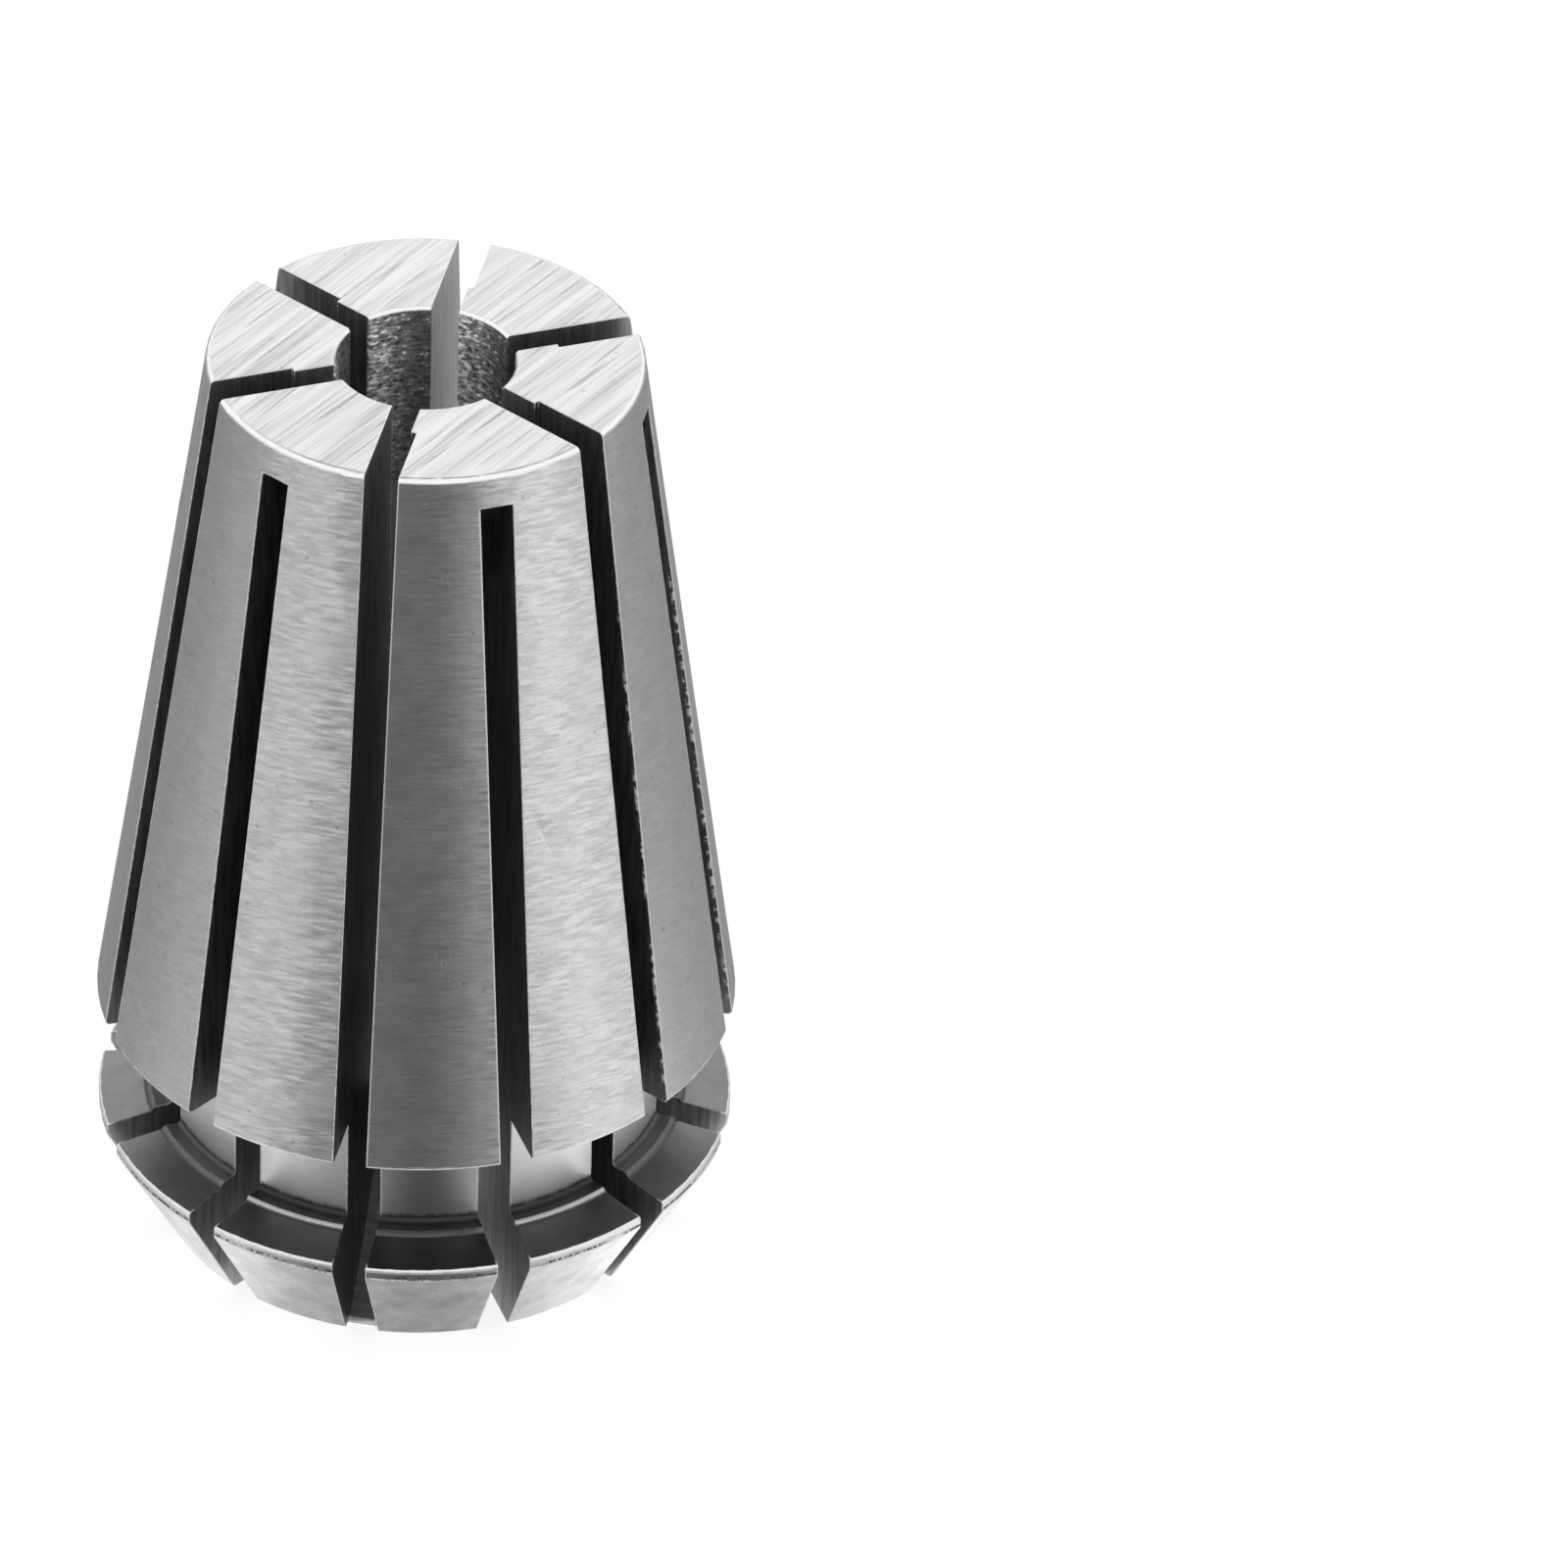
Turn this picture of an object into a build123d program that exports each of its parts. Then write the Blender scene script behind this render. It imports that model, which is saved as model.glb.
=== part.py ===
from build123d import *
from math import cos, radians, sin, sqrt, tan
import os

os.makedirs("parts", exist_ok=True)

# Spring collet for an 11 mm class taper holder, in millimetres.
# It stands on its big end. The axis is Z, and the origin is the centre of the big-end face.
# X and Y run through the middles of jaws, where the body is widest, and the slots lie between them.

# Overall sizes
overall_length = 18.0
taper_diameter = 11.5
bore_diameter = 3.175

# Seating taper, widest at its foot
taper_half_angle = 8.0

# Collar at the big end, with the clamping cone below its land
collar_diameter = 11.4
collar_height = 2.5
collar_drop = 0.22
land_height = 0.22
cone_half_angle = 30.0

# Groove between the collar and the taper, with a low rounded ring round its bottom corner
groove_diameter = 9.0
groove_width = 2.0
ring_share = 0.25
ring_height = 0.08
ring_round = 0.06
ring_hollow_share = 0.3

# Broken edges
rim_round = 0.1
foot_round = 0.09
land_round = 0.05
face_round = 0.12
small_end_bore_chamfer = 0.05
big_end_bore_chamfer = 0.25

# Saw cuts: a wide outer cut, and a thinner one that opens its bottom into the bore
outer_cut_width = 0.6
inner_cut_width = 0.5
inner_cut_depth = 0.75
saw_radius = 8.0
saw_overrun = 0.7

# Webs that the saw leaves at the closed end of each cut
small_end_bridge = 0.6
face_nick = 0.18

# First slot of each set, and the side of each slot where the wide cut stands out past the thin one
small_end_first_slot = -105.0
big_end_first_slot = -75.0
small_end_sides = (1, 1, -1, -1, -1, -1)
big_end_sides = (1, 1, 1, 1, 1, 1)

# Room beyond the body for the cutting shapes, and how near two sizes are to count as the same
clear = 1.0
same = 1e-4

# Radii and levels that follow
taper_radius = taper_diameter / 2
collar_radius = collar_diameter / 2
groove_radius = groove_diameter / 2
bore_radius = bore_diameter / 2
taper_foot = collar_height + groove_width
taper_slope = tan(radians(taper_half_angle))
small_end_radius = taper_radius - (overall_length - taper_foot) * taper_slope
land_top = collar_height - collar_drop
land_bottom = land_top - land_height
face_radius = collar_radius - land_bottom * tan(radians(cone_half_angle))
ring_width = ring_share * (collar_radius - groove_radius)
ring_radius = groove_radius + ring_width
inner_cut_radius = bore_radius + inner_cut_depth

# The saw reaches past the bore wall, and its arc leaves the body just short of the closed end
saw_nearest_radius = bore_radius - saw_overrun
saw_centre_radius = saw_nearest_radius + saw_radius
bridge_level = overall_length - small_end_bridge
bridge_radius = small_end_radius + small_end_bridge * taper_slope
small_end_saw_level = sqrt(saw_radius**2 - (saw_centre_radius - face_radius + face_nick) ** 2)
big_end_saw_level = bridge_level - sqrt(saw_radius**2 - (saw_centre_radius - bridge_radius) ** 2)
wide_offset = (outer_cut_width - inner_cut_width) / 2

# Each set of slots: first angle, sides, height of the saw's centre, and the level that the cut runs out to
slot_sets = (
    (small_end_first_slot, small_end_sides, small_end_saw_level, overall_length + clear),
    (big_end_first_slot, big_end_sides, big_end_saw_level, -clear),
)


def ring_edge(body, level, radius):
    """The circular edge of the turned body at one height and radius."""
    circles = body.edges().filter_by(GeomType.CIRCLE)
    return circles.filter_by(lambda edge: abs(edge.center(CenterOf.BOUNDING_BOX).Z - level) < same).filter_by(
        lambda edge: abs(edge.radius - radius) < same
    )


def saw_area(angle, offset, saw_level, run_end, nearest_radius):
    """Area that the saw sweeps in a radial plane, from its arc at the closed end out past the open end."""
    outward = Vector(cos(radians(angle)), sin(radians(angle)), 0)
    sideways = Vector(-outward.Y, outward.X, 0)
    outer_radius = taper_radius + clear
    with BuildSketch(Plane(origin=sideways * offset, x_dir=outward, z_dir=-sideways)) as swept:
        with Locations((saw_centre_radius, saw_level)):
            Circle(saw_radius)
        with Locations((saw_nearest_radius, (saw_level + run_end) / 2)):
            Rectangle(outer_radius - saw_nearest_radius, abs(run_end - saw_level), align=(Align.MIN, Align.CENTER))
        with Locations((nearest_radius, overall_length / 2)):
            Rectangle(
                outer_radius - nearest_radius,
                overall_length + 2 * clear,
                align=(Align.MIN, Align.CENTER),
                mode=Mode.INTERSECT,
            )
    return swept.sketch


# Collet body, one solid: turned outline first, then the bore, then the saw cuts
with BuildPart() as collet_body:
    with BuildSketch(Plane.XZ):
        with BuildLine():
            Polyline(
                (0, 0),
                (face_radius, 0),
                (collar_radius, land_bottom),
                (collar_radius, land_top),
                (ring_radius + ring_height, collar_height - ring_height),
                (ring_radius, collar_height),
                (groove_radius, collar_height),
                (groove_radius, taper_foot),
                (taper_radius, taper_foot),
                (small_end_radius, overall_length),
                (0, overall_length),
                close=True,
            )
        make_face()
    revolve(axis=Axis.Z)
    fillet(ring_edge(collet_body, overall_length, small_end_radius), rim_round)
    fillet(ring_edge(collet_body, taper_foot, taper_radius), foot_round)
    fillet(ring_edge(collet_body, collar_height, groove_radius), ring_hollow_share * ring_width)
    fillet(ring_edge(collet_body, collar_height, ring_radius), ring_round)
    fillet(ring_edge(collet_body, land_top, collar_radius), land_round)
    fillet(ring_edge(collet_body, land_bottom, collar_radius), land_round)
    fillet(ring_edge(collet_body, 0, face_radius), face_round)

    Hole(bore_radius)
    chamfer(ring_edge(collet_body, overall_length, bore_radius), small_end_bore_chamfer)
    chamfer(ring_edge(collet_body, 0, bore_radius), big_end_bore_chamfer)

    for first_angle, sides, saw_level, run_end in slot_sets:
        for number, side in enumerate(sides):
            angle = first_angle + number * 360 / len(sides)
            wide = saw_area(angle, side * wide_offset, saw_level, run_end, inner_cut_radius)
            extrude(wide, amount=outer_cut_width / 2, both=True, mode=Mode.SUBTRACT)
            thin = saw_area(angle, 0, saw_level, run_end, saw_nearest_radius)
            extrude(thin, amount=inner_cut_width / 2, both=True, mode=Mode.SUBTRACT)

collet_body.part.label = "collet_body"
export_step(collet_body.part, "parts/collet_body.step")
print("solids", len(collet_body.part.solids()), "volume", round(collet_body.part.volume, 3))
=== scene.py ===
import math

import bpy
from mathutils import Matrix, Vector

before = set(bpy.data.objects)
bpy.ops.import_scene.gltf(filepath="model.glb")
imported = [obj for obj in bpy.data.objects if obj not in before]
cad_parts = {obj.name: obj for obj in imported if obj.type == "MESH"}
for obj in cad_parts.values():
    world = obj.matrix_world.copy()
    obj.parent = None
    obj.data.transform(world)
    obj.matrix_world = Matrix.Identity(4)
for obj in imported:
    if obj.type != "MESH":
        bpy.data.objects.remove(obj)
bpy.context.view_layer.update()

MM = 0.001
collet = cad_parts["collet_body"]

# Sizes of the turned outline, in millimetres, as the part was cut
full_height = 18.0
taper_foot = 4.5
taper_radius = 5.75
taper_slope = math.tan(math.radians(8.0))
small_end_radius = taper_radius - (full_height - taper_foot) * taper_slope
neck_radius = 4.5
collar_top = 2.5
land_top = 2.28
land_bottom = 2.06
collar_radius = 5.7
cone_slope = math.tan(math.radians(30.0))
bore_radius = 1.5875

# The finish takes the cone to start a little inside its real foot, so that its rounding doesn't count as sawn
cone_foot_radius = 4.38

# Low ring in the groove's bottom corner: its crest, and the radius where the hollow behind it ends
ring_crest = (4.80, 4.84)
hollow_reach = 4.90

# Slots that open at the small end: the place of one, the step between them, and half their width in the bore
slot_angle = math.radians(15.0)
slot_spacing = math.radians(60.0)
slot_half_width = 0.25

# Grey levels of the steel, from 0 to 1
taper_grey = 0.70
end_face_grey = 0.88
cone_grey = 0.76
sawn_grey = 0.33
bore_grey = 0.36
bore_darkest = 0.10
collar_dirt_grey = 0.10
# Painted highlights on the rim, the edges, the taper's foot and the land's edge; the first of these greys
# also serves burrs and worn dashes
wear_and_highlight_grey = 0.95
highlight_grey = 0.98

# Roughness of the steel
taper_rough = 0.30
end_face_rough = 0.27
cone_rough = 0.36
neck_rough = 0.38
collar_rough = 0.42
sawn_rough = 0.42
bore_rough = 0.45
edge_rough = 0.25
dirt_and_shade_rough = 0.55

# What changes round the part: the degrees from the front jaw where that starts and ends, and both levels
# Painted shade: the neck is painted darker towards the front jaw
neck_front_shade = (1.0, 12.0, 0.48, 0.96)
# Painted shade: the low ring is painted dark at the front jaw and darker again past the sides
ring_front_shade = (9.0, 18.0, 0.11, 0.60)
ring_side_shade = (44.0, 50.0, 1.0, 0.3)
# Painted shade in the hollow at the neck's foot, darker towards the front jaw
hollow_shade_tone = (44.0, 50.0, 0.07, 0.13)
# Painted shade: the collar face is painted darkest at the front jaw and lighter towards the sides and back
collar_front_shade = (8.0, 20.0, 0.07, 0.14)
collar_side_shade = (55.0, 80.0, 0.0, 0.17)
streaks_start = (7.0, 16.0, 0.25, 1.0)
streaks_end = (42.0, 52.0, 1.0, 0.35)

# Degrees from the front jaw past which a sawn wall is one of the slot at the back, painted lighter: painted
# light through the open slot
back_slot_start = (150.0, 156.0)

# How far the streaks drop for each millimetre that they run towards the back
streak_slant = 0.22

# Marks in the steel, in millimetres: how far the painted light reaches into the bore beside a slot, how soft
# the edges look, and where the flecks start and end on the walls of the slots on the right
slot_light_width = 1.05
edge_softness = 0.045
flecks_start_x = (1.5, 3.0)
flecks_start_z = (4.8, 5.0)
flecks_end_z = (14.0, 15.0)

# Which way the lines run across the end face, and how strongly all relief shows
line_angle = math.radians(51.0)
relief_strength = 0.5

# Nearest that a point counts to the axis, where an angle round it would be lost
least_radius = 0.1

# Camera: where it stands round the part, how far off, and its last small turns, in degrees and metres
camera_azimuth = -3.0887
camera_elevation = 35.0746
camera_distance = 0.2875
aim_height = 9.445 * MM
camera_pan, camera_tilt, camera_roll = 1.2937, 0.0743, -0.8826
camera_lens = 370.6
sensor_width = 36.0
nearest_seen, farthest_seen = 0.01, 10.0

# Floor: how far it reaches, how far from the axis metal shows it lighter and by how much, and how paint and
# glow share its white
floor_reach = 0.4
floor_gap = 0.02 * MM
near_reach = 6.7 * MM
near_blur = 0.9 * MM
near_share, near_lift = 1.05, 0.30
floor_paint, floor_glow = 0.18, 0.87
floor_to_other_rays = (0.8, 0.8, 0.8, 1.0)
white = (1.0, 1.0, 1.0, 1.0)

# Screens: the height of those round the floor, and the dark one that hangs overhead, behind the part
screen_height = 0.08
overhead_turn, overhead_elevation = 180.0, 61.0
overhead_distance, overhead_radius = 0.35, 0.124
overhead_level = 0.12
overhead_core = 0.65
circle_corners = 96

# How bright the floor and the screens look in the metal, by degrees round the part from the camera's side
low_light = (
    (-180, 0.35),
    (-140, 0.31),
    (-116, 0.29),
    (-98, 0.38),
    (-79, 0.49),
    (-65, 0.62),
    (-46, 0.74),
    (-34, 0.43),
    (-27, 0.24),
    (-14, 0.16),
    (0, 0.10),
    (10, 0.11),
    (17, 0.23),
    (25, 0.40),
    (38, 0.64),
    (57, 1.0),
    (77, 0.70),
    (91, 0.45),
    (108, 0.39),
    (126, 0.33),
    (147, 0.34),
    (180, 0.35),
)


class Value:
    """A number that varies over a surface. Ordinary arithmetic with it adds the Math nodes."""

    def __init__(self, recipe, socket):
        self.recipe = recipe
        self.socket = socket

    def math(self, operation, *others):
        settings = {"operation": operation}
        sockets = dict(enumerate((self, *others)))
        return self.recipe.add("ShaderNodeMath", settings, sockets)

    def __add__(self, other):
        return self.math("ADD", other)

    __radd__ = __add__

    def __sub__(self, other):
        return self.math("SUBTRACT", other)

    def __rsub__(self, other):
        return self.recipe.constant(other).math("SUBTRACT", self)

    def __mul__(self, other):
        return self.math("MULTIPLY", other)

    __rmul__ = __mul__

    def __truediv__(self, other):
        return self.math("DIVIDE", other)

    def __rtruediv__(self, other):
        return self.recipe.constant(other).math("DIVIDE", self)

    def __abs__(self):
        return self.math("ABSOLUTE")

    def least(self, other):
        return self.math("MINIMUM", other)

    def most(self, other):
        return self.math("MAXIMUM", other)

    def fade(self, start, end, low=0.0, high=1.0):
        """Goes smoothly from low at start to high at end, and stays there beyond them."""
        settings = {"interpolation_type": "SMOOTHSTEP"}
        sockets = {"Value": self, "From Min": start, "From Max": end, "To Min": low, "To Max": high}
        return self.recipe.add("ShaderNodeMapRange", settings, sockets)

    def fall(self, start, end):
        """1 up to start, falling smoothly to 0 at end."""
        return self.fade(start, end, 1.0, 0.0)

    def band(self, low, high, soft):
        """1 between low and high, fading to 0 over a width of soft outside them."""
        return self.fade(low - soft, low) * self.fall(high, high + soft)

    def swing(self, width):
        """A noise of 0 to 1 as a swing about 0."""
        return (self - 0.5) * width


class Recipe:
    """The node tree of one finish. Nodes come from one method, and its output sockets come back as Values."""

    def __init__(self, tree):
        self.tree = tree
        tree.nodes.clear()

    def add(self, kind, settings=None, sockets=None, out=0):
        node = self.tree.nodes.new(kind)
        for name, value in (settings or {}).items():
            if name == "stops":
                self.set_stops(node.color_ramp, value)
            else:
                setattr(node, name, value)
        for name, value in (sockets or {}).items():
            if isinstance(value, Value):
                self.tree.links.new(value.socket, node.inputs[name])
            else:
                node.inputs[name].default_value = value
        if isinstance(out, tuple):
            return [Value(self, node.outputs[name]) for name in out]
        return Value(self, node.outputs[out]) if len(node.outputs) else node

    @staticmethod
    def set_stops(ramp, stops):
        while len(ramp.elements) > 1:
            ramp.elements.remove(ramp.elements[-1])
        for number, (position, level) in enumerate(stops):
            element = ramp.elements[0] if number == 0 else ramp.elements.new(position)
            element.position = position
            element.color = (level, level, level, 1.0)

    def constant(self, number):
        value = self.add("ShaderNodeValue")
        value.socket.default_value = number
        return value

    def vector(self, x, y, z):
        return self.add("ShaderNodeCombineXYZ", sockets={0: x, 1: y, 2: z})

    def parts(self, vector):
        return self.add("ShaderNodeSeparateXYZ", sockets={0: vector}, out=(0, 1, 2))

    def dot(self, one, other):
        return self.add("ShaderNodeVectorMath", {"operation": "DOT_PRODUCT"}, {0: one, 1: other}, out=1)

    def leant(self, vector, way, amount):
        """The vector pushed one way by an amount, and brought back to length 1."""
        push = self.add("ShaderNodeVectorMath", {"operation": "SCALE"}, {0: way, "Scale": amount})
        summed = self.add("ShaderNodeVectorMath", {"operation": "ADD"}, {0: vector, 1: push})
        return self.add("ShaderNodeVectorMath", {"operation": "NORMALIZE"}, {0: summed})

    def noise(self, place, scale, detail, roughness=0.5):
        sockets = {"Vector": place, "Scale": scale, "Detail": detail, "Roughness": roughness}
        return self.add("ShaderNodeTexNoise", {"noise_dimensions": "3D"}, sockets)

    def blend(self, share, one, other):
        """One value where share is 0, and the other where it is 1."""
        return self.add("ShaderNodeMix", {"data_type": "FLOAT"}, {0: share, 2: one, 3: other})

    def grey(self, level):
        return self.add("ShaderNodeCombineColor", sockets={0: level, 1: level, 2: level})

    def mixed_shader(self, share, one, other):
        return self.add("ShaderNodeMixShader", sockets={0: share, 1: one, 2: other})


class Spot:
    """A point of the steel: its place in millimetres, its angle round the part, and the way it faces."""

    def __init__(self, sheet):
        self.sheet = sheet
        place = sheet.add("ShaderNodeTexCoord", out="Object")
        self.x, self.y, self.z = (metres * (1 / MM) for metres in sheet.parts(place))
        self.point = sheet.vector(self.x, self.y, self.z)
        self.radius = (self.x * self.x + self.y * self.y).math("SQRT").most(least_radius)
        self.angle = self.y.math("ARCTAN2", self.x)
        self.from_front = abs(self.angle + math.pi / 2) * (180 / math.pi)
        self.true_normal = sheet.add("ShaderNodeNewGeometry", out="True Normal")
        facing_x, facing_y, self.facing_z = sheet.parts(self.true_normal)
        self.facing_round = abs(facing_y * self.x - facing_x * self.y) / self.radius

    def noise(self, fineness, detail, roughness=0.5):
        """Noise that is as fine up the part as across it."""
        return self.sheet.noise(self.point, fineness, detail, roughness)

    def drawn_noise(self, across, up, detail, roughness, height=None):
        """Noise of one fineness across the part and another up it, which draws it out into streaks."""
        height = self.z if height is None else height
        stretched = self.sheet.vector(self.x * across, self.y * across, height * up)
        return self.sheet.noise(stretched, 1.0, detail, roughness)


class Zones:
    """Which face of the part a point lies on. Each zone is a share from 0 to 1."""

    def __init__(self, sheet, spot):
        radius, z = spot.radius, spot.z

        # How deep the point lies under the turned outline
        taper_outline = taper_radius - (z - taper_foot) * taper_slope
        cone_outline = (cone_foot_radius + z * cone_slope).least(collar_radius)
        above_foot = z.fade(taper_foot - 0.02, taper_foot + 0.02)
        above_collar = z.fade(collar_top - 0.03, collar_top)
        outline = sheet.blend(above_foot, sheet.blend(above_collar, cone_outline, neck_radius), taper_outline)
        self.depth = outline - radius

        # Faces that the lathe and the grinder left
        self.facing_up = spot.facing_z.fade(0.75, 0.9)
        near_top = z.fade(full_height - 0.1, full_height - 0.05)
        inside_rim = radius.fall(small_end_radius - 0.11, small_end_radius - 0.06)
        self.end_face = self.facing_up * near_top * inside_rim
        self.collar_face = spot.facing_z.fade(0.94, 0.96) * z.fall(collar_top + 0.1, collar_top + 0.2)
        self.bore = radius.fall(bore_radius + 0.03, bore_radius + 0.06) * abs(spot.facing_z).fall(0.3, 0.6)
        self.neck = z.band(collar_top + 0.05, taper_foot - 0.05, 0.03)
        self.cone = z.fall(land_bottom - 0.04, land_bottom - 0.02)

        # Faces that the saw left: the walls of each slot, and the arc that closes it
        self.sawn_wall = spot.facing_round.fade(0.5, 0.75)
        at_ends = spot.facing_z.fade(0.5, 0.7) * near_top + z.fall(0.01, 0.03)
        sawn_floor = self.depth.fade(0.12, 0.2) * (1 - self.collar_face) * (1 - at_ends)
        self.sawn_floor_only = sawn_floor * (1 - self.sawn_wall)
        self.sawn = self.sawn_wall.most(sawn_floor) * (1 - self.bore)

        # The rounded rim of the small end
        below_top = z.fade(full_height - 0.10, full_height - 0.07)
        self.rim = below_top * (1 - self.end_face) * (1 - self.sawn) * (1 - self.bore)


class ToolMarksAndPaintedLight:
    """What the wheel, the saw and the reamer left on the steel, as noise, with painted glints and painted
    light beside the slots in the bore.
    """

    def __init__(self, sheet, spot):
        # Short streaks round the taper, tilted a little, and the fine hair between them
        tilted = spot.z + spot.y * streak_slant
        cloud = spot.noise(0.7, detail=2.0)
        patch = cloud.fade(0.32, 0.54, 0.45, 1.0)
        self.streaky = spot.from_front.fade(*streaks_start) * spot.from_front.fade(*streaks_end)
        streaks = spot.drawn_noise(across=2.0, up=15.0, detail=2.0, roughness=0.55, height=tilted)
        self.streak = (streaks.fade(0.34, 0.66) - 0.5) * patch * self.streaky * 0.8
        self.hair = spot.drawn_noise(across=4.5, up=26.0, detail=2.0, roughness=0.6, height=tilted)
        ridges = spot.drawn_noise(across=2.2, up=12.0, detail=2.0, roughness=0.5, height=tilted)
        self.ridge = ridges.fade(0.36, 0.64)
        self.ridge_tone = (self.ridge - 0.5) * patch * self.streaky

        # Soft clouds, fine grain with painted glints in it, and a pit here and there
        self.mottle = spot.noise(2.0, detail=4.0, roughness=0.6)
        self.grain = spot.noise(28.0, detail=2.0)
        self.glint = self.grain.fade(0.70, 0.76)
        self.pit = spot.noise(6.5, detail=1.0).fade(0.73, 0.78)

        # Straight lines across the end face, and a few deeper scratches among them
        along = spot.x * math.cos(line_angle) + spot.y * math.sin(line_angle)
        across = spot.y * math.cos(line_angle) - spot.x * math.sin(line_angle)
        broad_place = sheet.vector(along * 0.16, across * 4.0, 0.0)
        fine_place = sheet.vector(along * 0.35, across * 15.0, 3.0)
        scratch_place = sheet.vector(along * 0.3, across * 8.0, 7.0)
        broad_line = sheet.noise(broad_place, 1.0, detail=3.0, roughness=0.65)
        self.lines = broad_line * 0.65 + sheet.noise(fine_place, 1.0, detail=2.0) * 0.35
        self.scratch = sheet.noise(scratch_place, 1.0, detail=1.0).fade(0.62, 0.70)

        # Saw marks down the slot walls
        marks_place = sheet.vector(spot.radius * 9.0, spot.angle * 3.0, spot.z * 0.8)
        self.saw_mark = sheet.noise(marks_place, 1.0, detail=4.0, roughness=0.6)

        # Torn bore, with painted light and painted glints on one side of each slot that opens into it at the
        # small end
        self.torn = spot.drawn_noise(across=8.0, up=15.0, detail=3.0, roughness=0.6)
        turn_past_slot = (slot_angle - spot.angle).math("FLOORED_MODULO", slot_spacing)
        past_slot = turn_past_slot * spot.radius - slot_half_width
        self.slot_side_light = past_slot.fall(0.05, slot_light_width)
        self.torn_glint = (self.torn + self.slot_side_light * 0.10).fade(0.66, 0.70)


class WearAndPaintedLight:
    """Burrs on worn edges, painted highlights along edges and lines, painted shade in the hollow at the
    neck's foot, and broken lines of dirt and wear round the collar.
    """

    def __init__(self, sheet, spot, zones):
        radius, z, depth = spot.radius, spot.z, zones.depth

        # Painted shade in the hollow at the neck's foot, with a toothed upper edge, and the low ring that
        # stands out
        tooth = spot.drawn_noise(across=5.0, up=1.5, detail=2.0, roughness=0.7)
        under_teeth = (z + tooth.swing(0.12)).fall(collar_top + 0.08, collar_top + 0.20)
        above_hollow = z.fade(collar_top - 0.10, collar_top - 0.08)
        in_hollow = under_teeth * above_hollow * radius.fall(hollow_reach - 0.02, hollow_reach + 0.02)
        self.neck_hollow_shade = in_hollow * (1 - zones.sawn_wall)
        self.ring = radius.band(*ring_crest, 0.02) * z.band(collar_top - 0.10, collar_top + 0.05, 0.02)

        # Edges where two faces meet, softened, and a painted highlight along them
        self.softened = sheet.add("ShaderNodeBevel", {"samples": 6}, {"Radius": edge_softness * MM})
        bend = sheet.dot(self.softened, spot.true_normal)
        open_side = depth.fall(0.08, 0.16).most(z.fade(full_height - 0.16, full_height - 0.08))
        self.edge = bend.fade(0.995, 0.93) * open_side

        # Burrs along the edges, and more of them down the slots on the right
        flecks = spot.noise(7.0, detail=3.0, roughness=0.6).fade(0.48, 0.54)
        burr_patch = spot.noise(0.8, detail=1.0)
        on_edges = bend.fade(0.997, 0.975) * open_side * flecks * burr_patch.fade(0.36, 0.48)
        on_edges = on_edges * z.fall(full_height - 0.35, full_height - 0.25)
        on_walls = zones.sawn_wall * depth.fall(0.03, 0.11) * flecks * burr_patch.fade(0.30, 0.42)
        on_walls = on_walls * spot.x.fade(*flecks_start_x) * z.fade(*flecks_start_z) * z.fall(*flecks_end_z)
        self.burr = on_edges.most(on_walls) * (1 - zones.collar_face) * (1 - self.neck_hollow_shade)

        # Painted highlight along the taper's foot, and a broken painted highlight on the land's top edge with
        # broken lines of dirt below it
        outside = open_side * (1 - zones.sawn_wall)
        dash = spot.drawn_noise(across=14.0, up=4.0, detail=2.0, roughness=0.6)
        dash_patch = spot.noise(1.3, detail=1.0).fade(0.40, 0.55)
        self.dash = dash
        self.foot_line = z.band(taper_foot - 0.01, taper_foot + 0.065, 0.015) * outside
        land_edge = z.band(land_top - 0.07, land_top + 0.01, 0.02) * (1 - zones.collar_face) * outside
        self.land_line = land_edge * dash.fade(0.30, 0.48, 0.4, 1.0)
        dirt_line = z.band(land_bottom + 0.05, land_bottom + 0.08, 0.02)
        self.collar_dirt = dirt_line * dash.fade(0.44, 0.52) * dash_patch * outside
        dash_line = z.band(land_bottom - 0.02, land_bottom + 0.02, 0.02)
        self.collar_dash = dash_line * dash.fade(0.46, 0.56) * outside


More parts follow.
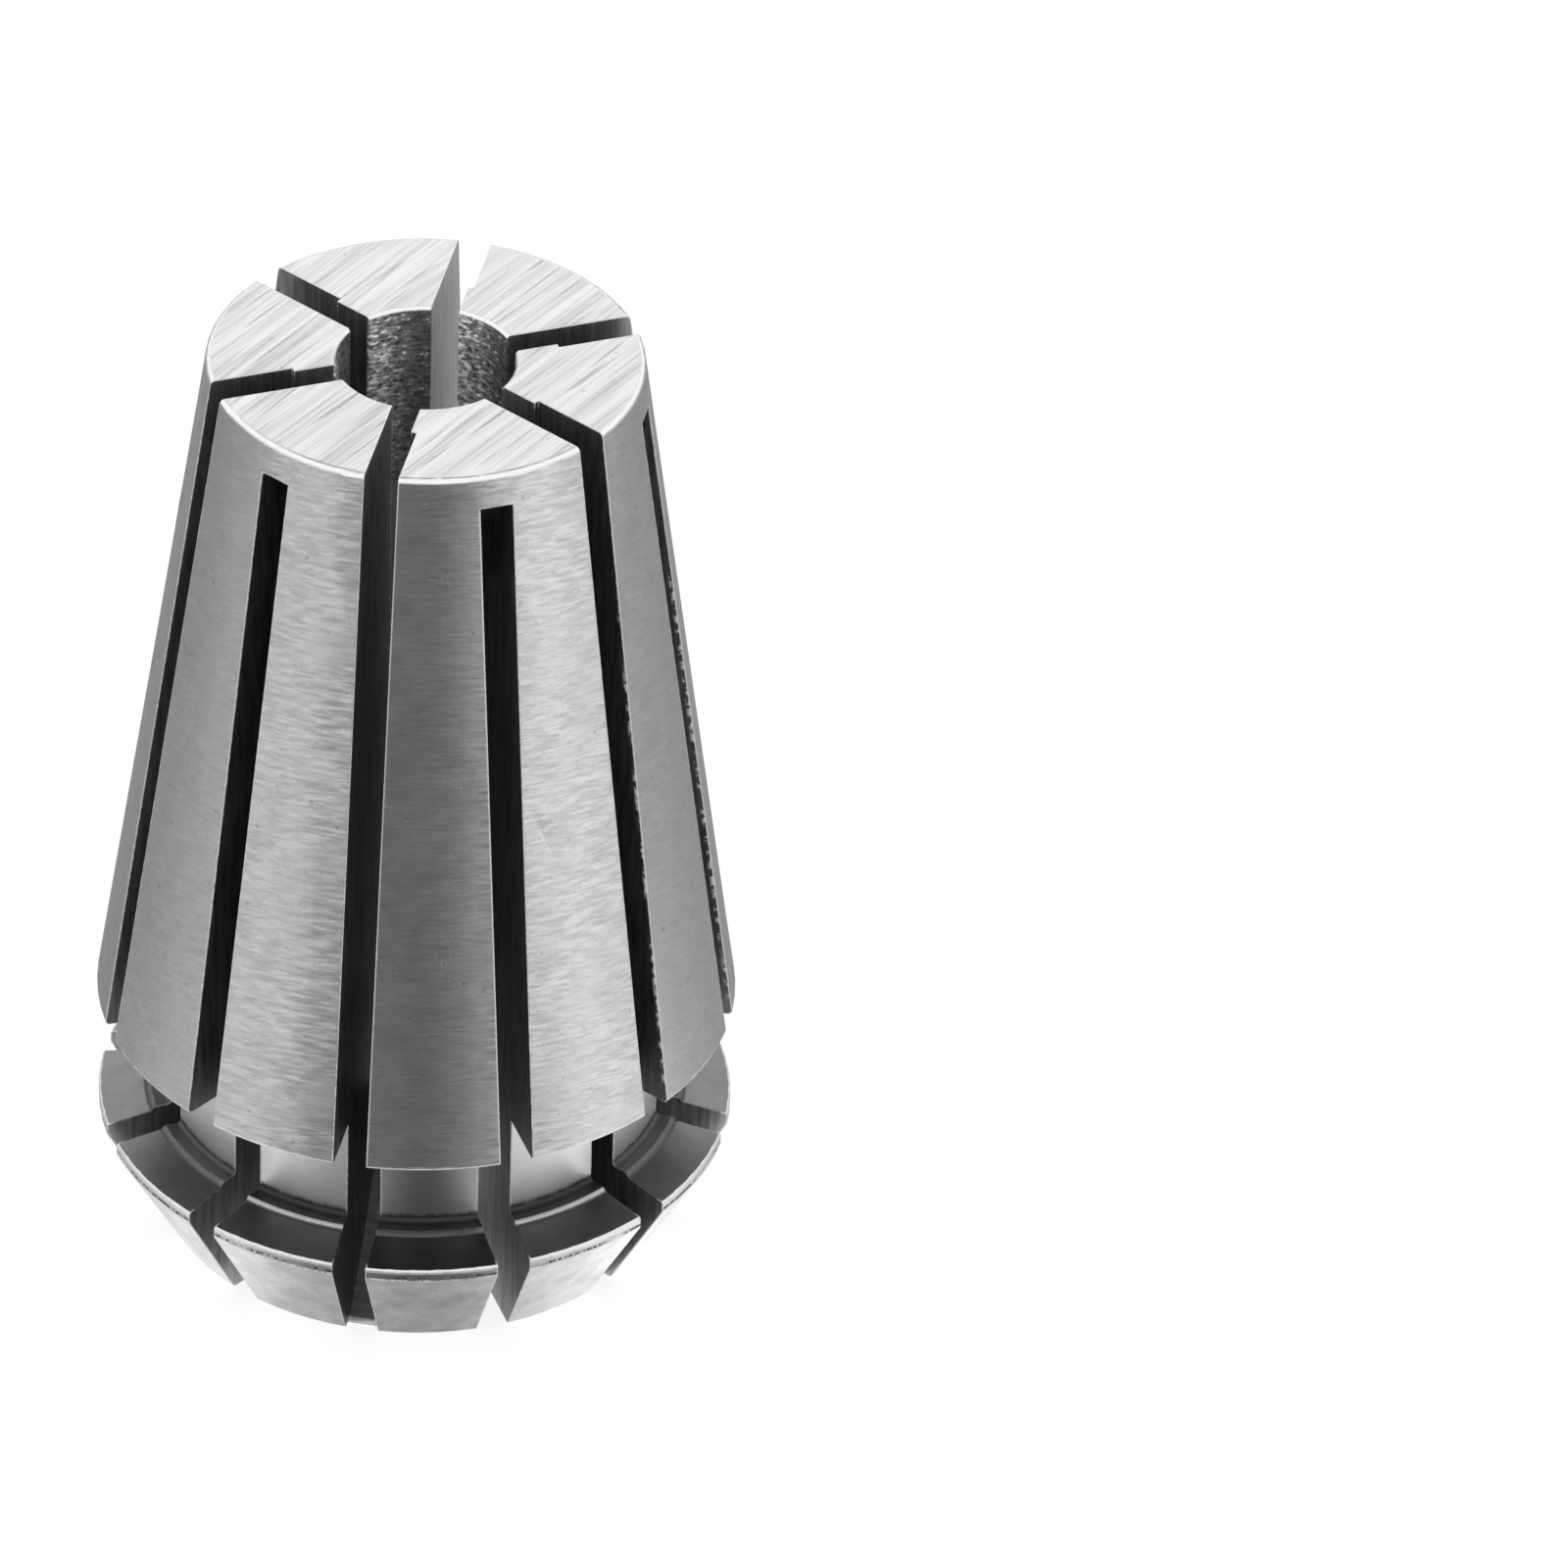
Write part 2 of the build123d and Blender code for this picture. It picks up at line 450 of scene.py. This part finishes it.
def steel_level(sheet, spot, zones, marks, wear_and_light):
    """Grey level of the steel, each zone laid over the ones before it."""
    from_front = spot.from_front
    hair, mottle, grain, pit = marks.hair, marks.mottle, marks.grain, marks.pit

    taper = taper_grey + marks.ridge_tone * 0.15 + (hair - 0.5) * (marks.streaky * 0.20 + 0.12)
    taper = taper + mottle.swing(0.14)
    taper = taper + grain.swing(0.16) + marks.glint * 0.12 - pit * 0.16
    end_face = end_face_grey + marks.lines.swing(1.6) - marks.scratch * 0.28 - pit * 0.25
    # The neck's grey is painted shade, darker towards the front jaw
    neck = from_front.fade(*neck_front_shade) + marks.ridge.swing(0.03) + mottle.swing(0.12)
    cone = cone_grey + mottle.swing(0.75) + hair.swing(0.12) + grain.swing(0.12)
    # The collar face's grey is painted shade, darkest at the front jaw
    collar = from_front.fade(*collar_front_shade) + from_front.fade(*collar_side_shade)
    collar = collar * (0.75 + mottle * 0.5)
    # The ring's grey is painted shade, dark at the front jaw and past the sides
    ring = from_front.fade(*ring_front_shade) * from_front.fade(*ring_side_shade) * (0.7 + wear_and_light.dash * 0.6)

    # Painted light on the wall of the slot at the back, as lit through the open slot
    rear_slot_light = from_front.fade(*back_slot_start) * spot.x.fade(0.0, 0.1) * spot.z.fade(8.0, 14.0)
    floor_only = zones.sawn_floor_only
    # Sawn floors are painted darker: painted shade in the closed ends of the slots
    sawn = sawn_grey + (marks.saw_mark - 0.5) * (0.7 - floor_only * 0.5) - floor_only * 0.2 + rear_slot_light * 0.45
    torn = marks.torn - 0.5
    # Painted light beside one side of each slot, and painted glints among the torn specks
    bore = (bore_grey + torn * 1.1 + marks.slot_side_light * (0.24 + torn * 2.4)).most(bore_darkest)
    bore = bore + marks.torn_glint * 0.5

    level = sheet.blend(zones.neck, taper, neck)
    level = sheet.blend(zones.cone, level, cone)
    level = sheet.blend(zones.collar_face, level, collar)
    level = sheet.blend(zones.end_face, level, end_face)
    # Painted shade in the hollow at the neck's foot
    level = sheet.blend(wear_and_light.neck_hollow_shade * (1 - wear_and_light.ring), level, from_front.fade(*hollow_shade_tone))
    # Painted highlight on the rounded rim
    level = sheet.blend(zones.rim, level, wear_and_highlight_grey)
    level = sheet.blend(zones.sawn, level, sawn)
    level = sheet.blend(zones.bore, level, bore)
    # Painted highlight along the edges
    level = sheet.blend(wear_and_light.edge * (1 - wear_and_light.neck_hollow_shade) * 0.95, level, highlight_grey)
    # The low ring with its painted shade
    level = sheet.blend(wear_and_light.ring, level, ring)
    # Painted highlight on the land's top edge
    level = sheet.blend(wear_and_light.land_line * 0.8, level, wear_and_highlight_grey)
    # Painted highlight along the taper's foot
    level = sheet.blend(wear_and_light.foot_line, level, highlight_grey)
    level = sheet.blend(wear_and_light.collar_dirt * 0.95, level, collar_dirt_grey)
    level = sheet.blend(wear_and_light.collar_dash * 0.6, level, wear_and_highlight_grey)
    return sheet.blend(wear_and_light.burr, level, wear_and_highlight_grey)


def steel_roughness(sheet, zones, marks, wear_and_light):
    mottle = marks.mottle
    rough = sheet.blend(zones.neck, taper_rough + marks.streak * 0.10 + mottle.swing(0.10), neck_rough)
    rough = sheet.blend(zones.cone, rough, cone_rough + mottle.swing(0.15))
    rough = sheet.blend(zones.collar_face, rough, collar_rough)
    rough = sheet.blend(zones.end_face, rough, end_face_rough + marks.lines.swing(0.1))
    rough = sheet.blend(zones.sawn, rough, sawn_rough)
    rough = sheet.blend(zones.bore, rough, bore_rough)
    rough = sheet.blend(wear_and_light.edge, rough, edge_rough)
    return sheet.blend(wear_and_light.burr.most(wear_and_light.collar_dirt).most(wear_and_light.neck_hollow_shade), rough, dirt_and_shade_rough)


def steel_metal(zones, marks, wear_and_light):
    """How metallic the steel is. Burrs, painted highlight lines and the torn bore's painted light and glints
    scatter light as a matt face does.
    """
    matt = (wear_and_light.burr * 0.7).most(wear_and_light.collar_dash * 0.4).most(wear_and_light.land_line * 0.3)
    matt = matt.most(wear_and_light.foot_line * 0.5).most(wear_and_light.edge * 0.5)
    return (1 - matt) * (1 - zones.bore * (marks.slot_side_light * 0.7).most(marks.torn_glint * 0.9))


def steel_height(sheet, zones, marks):
    """Relief of the steel, in millimetres."""
    mottle, grain = marks.mottle, marks.grain
    taper = marks.ridge * 0.002 + marks.streak * 0.003 + marks.hair * 0.0016 + grain * 0.0004
    taper = taper - marks.pit * 0.004
    height = sheet.blend(zones.cone, taper, mottle * 0.010 + grain * 0.0005)
    height = sheet.blend(zones.neck, height, mottle * 0.004 + grain * 0.0004)
    height = sheet.blend(zones.collar_face, height, mottle * 0.0015)
    height = sheet.blend(zones.end_face, height, marks.lines * 0.004 - marks.scratch * 0.004)
    height = sheet.blend(zones.sawn, height, marks.saw_mark * 0.004 + grain * 0.003)
    return sheet.blend(zones.bore, height, marks.torn * 0.03)


def steel_normal(sheet, spot, zones, marks, wear_and_light):
    """Soft edges, then streaks that each lean a little to one side and so differ in tone, then the relief."""
    lean = marks.streak * 0.15 + (marks.hair - 0.5) * (marks.streaky * 0.07 + 0.02)
    lean = lean * (1 - zones.facing_up) * (1 - zones.sawn) * (1 - zones.bore) * (1 - zones.neck)
    sideways = sheet.vector(spot.y * -1 / spot.radius, spot.x / spot.radius, 0.0)
    leant = sheet.leant(wear_and_light.softened, sideways, lean)
    height = steel_height(sheet, zones, marks)
    relief = {"Strength": relief_strength, "Distance": MM, "Height": height, "Normal": leant}
    return sheet.add("ShaderNodeBump", sockets=relief)


def steel_finish():
    """Hardened spring steel: ground taper and end face, sawn slots, turned neck and collar, reamed bore."""
    material = bpy.data.materials.new("ground_spring_steel")
    material.use_nodes = True
    sheet = Recipe(material.node_tree)
    spot = Spot(sheet)
    zones = Zones(sheet, spot)
    marks = ToolMarksAndPaintedLight(sheet, spot)
    wear_and_light = WearAndPaintedLight(sheet, spot, zones)
    looks = {
        "Base Color": sheet.grey(steel_level(sheet, spot, zones, marks, wear_and_light)),
        "Metallic": steel_metal(zones, marks, wear_and_light),
        "Roughness": steel_roughness(sheet, zones, marks, wear_and_light),
        "Normal": steel_normal(sheet, spot, zones, marks, wear_and_light),
    }
    steel = sheet.add("ShaderNodeBsdfPrincipled", sockets=looks)
    sheet.add("ShaderNodeOutputMaterial", sockets={"Surface": steel})
    return material


def direction(azimuth, elevation):
    """Which way a place lies from the part, from degrees round it and degrees up. Azimuth 0 is in front."""
    turn, rise = math.radians(azimuth), math.radians(elevation)
    return Vector((math.sin(turn) * math.cos(rise), -math.cos(turn) * math.cos(rise), math.sin(rise)))


def build_camera():
    back = direction(camera_azimuth, camera_elevation)
    right = Vector((math.cos(math.radians(camera_azimuth)), math.sin(math.radians(camera_azimuth)), 0.0))
    facing = Matrix((right, back.cross(right), back))
    pan = Matrix.Rotation(math.radians(camera_pan), 3, "Y")
    tilt = Matrix.Rotation(math.radians(camera_tilt), 3, "X")
    roll = Matrix.Rotation(math.radians(camera_roll), 3, "Z")
    turned = (roll @ tilt @ pan @ facing).transposed().to_4x4()
    data = bpy.data.cameras.new("camera")
    data.lens = camera_lens
    data.sensor_width = sensor_width
    data.clip_start = nearest_seen
    data.clip_end = farthest_seen
    camera = bpy.data.objects.new("camera", data)
    bpy.context.scene.collection.objects.link(camera)
    camera.matrix_world = Matrix.Translation(Vector((0, 0, aim_height)) + back * camera_distance) @ turned
    bpy.context.scene.camera = camera


def circle(reach, height):
    """Corners evenly round a circle."""
    turns = [2 * math.pi * k / circle_corners for k in range(circle_corners)]
    return [(reach * math.cos(turn), reach * math.sin(turn), height) for turn in turns]


def studio_piece(name, corners, faces):
    mesh = bpy.data.meshes.new(name)
    mesh.from_pydata(corners, [], faces)
    piece = bpy.data.objects.new(name, mesh)
    bpy.context.scene.collection.objects.link(piece)
    return piece


def studio_disc(name, reach):
    return studio_piece(name, circle(reach, 0.0), [tuple(range(circle_corners))])


def studio_wall(name, reach, height):
    """A wall that stands all round."""
    faces = []
    for k in range(circle_corners):
        after = (k + 1) % circle_corners
        faces.append((k, after, circle_corners + after, circle_corners + k))
    return studio_piece(name, circle(reach, 0.0) + circle(reach, height), faces)


def studio_sheet(name):
    """A new material for the floor or a screen, its recipe, and the place on it in metres."""
    material = bpy.data.materials.new(name)
    material.use_nodes = True
    sheet = Recipe(material.node_tree)
    return material, sheet, sheet.parts(sheet.add("ShaderNodeTexCoord", out="Object"))


def light_round_the_part(sheet, x, y):
    """How bright the studio stands round the part, seen low down: dark in front, bright at the sides."""
    azimuth = math.radians(camera_azimuth)
    front = x * math.sin(azimuth) - y * math.cos(azimuth)
    side = x * math.cos(azimuth) + y * math.sin(azimuth)
    turn = side.math("ARCTAN2", front) / (2 * math.pi) + 0.5
    stops = [(degrees / 360 + 0.5, level) for degrees, level in low_light]
    return sheet.add("ShaderNodeValToRGB", {"stops": stops}, {0: turn})


def build_floor():
    """A plain white round floor. Metal shows it as grey as the screens, and lighter close to the part."""
    material, sheet, (x, y, _) = studio_sheet("white_floor")
    rays = ("Is Camera Ray", "Is Glossy Ray", "Is Transmission Ray")
    seen, glossy, through = sheet.add("ShaderNodeLightPath", out=rays)
    away = (x * x + y * y).math("SQRT").fade(near_reach, near_reach + near_blur)
    far = light_round_the_part(sheet, x, y)
    shade = sheet.blend(glossy, 1.0, sheet.blend(away, far * near_share + near_lift, far))
    paint = sheet.add("ShaderNodeBsdfDiffuse", sockets={"Color": sheet.grey(shade * floor_paint)})
    glow = sheet.add("ShaderNodeEmission", sockets={"Color": white, "Strength": shade * floor_glow})
    shown = sheet.add("ShaderNodeAddShader", sockets={0: paint, 1: glow})
    plain = sheet.add("ShaderNodeBsdfDiffuse", sockets={"Color": floor_to_other_rays})
    surface = sheet.mixed_shader(seen.most(glossy).most(through), plain, shown)
    sheet.add("ShaderNodeOutputMaterial", sockets={"Surface": surface})
    floor = studio_disc("floor", floor_reach)
    floor.data.materials.append(material)
    floor.location = (0, 0, -floor_gap)


def show_to_metal_only(sheet, level, share):
    """Grey that only the metal shows. Every other ray goes through it."""
    glossy = sheet.add("ShaderNodeLightPath", out="Is Glossy Ray")
    glow = sheet.add("ShaderNodeEmission", sockets={"Color": white, "Strength": level})
    clear = sheet.add("ShaderNodeBsdfTransparent")
    surface = sheet.mixed_shader(glossy * share, clear, glow)
    sheet.add("ShaderNodeOutputMaterial", sockets={"Surface": surface})


def build_screens():
    """Grey screens stand round the floor, and a dark one hangs overhead, behind the part."""
    material, sheet, (x, y, z) = studio_sheet("grey_screens")
    show_to_metal_only(sheet, light_round_the_part(sheet, x, y), z.fall(0.0, screen_height))
    screens = studio_wall("screens", floor_reach, screen_height)
    screens.data.materials.append(material)

    material, sheet, (x, y, _) = studio_sheet("dark_screen")
    reach = (x * x + y * y).math("SQRT")
    show_to_metal_only(sheet, overhead_level, reach.fall(overhead_radius * overhead_core, overhead_radius))
    overhead = studio_disc("overhead_screen", overhead_radius)
    towards = direction(camera_azimuth + overhead_turn, overhead_elevation)
    turned = towards.to_track_quat("Z", "Y").to_matrix().to_4x4()
    overhead.matrix_world = Matrix.Translation(towards * overhead_distance) @ turned
    overhead.data.materials.append(material)


def build_world():
    """Plain soft white light from all round."""
    world = bpy.data.worlds.new("studio")
    bpy.context.scene.world = world
    world.use_nodes = True
    sheet = Recipe(world.node_tree)
    background = sheet.add("ShaderNodeBackground", sockets={"Color": white, "Strength": 1.0})
    sheet.add("ShaderNodeOutputWorld", sockets={"Surface": background})


collet.data.materials.clear()
collet.data.materials.append(steel_finish())
build_camera()
build_floor()
build_screens()
build_world()
bpy.context.scene.view_settings.view_transform = "Standard"
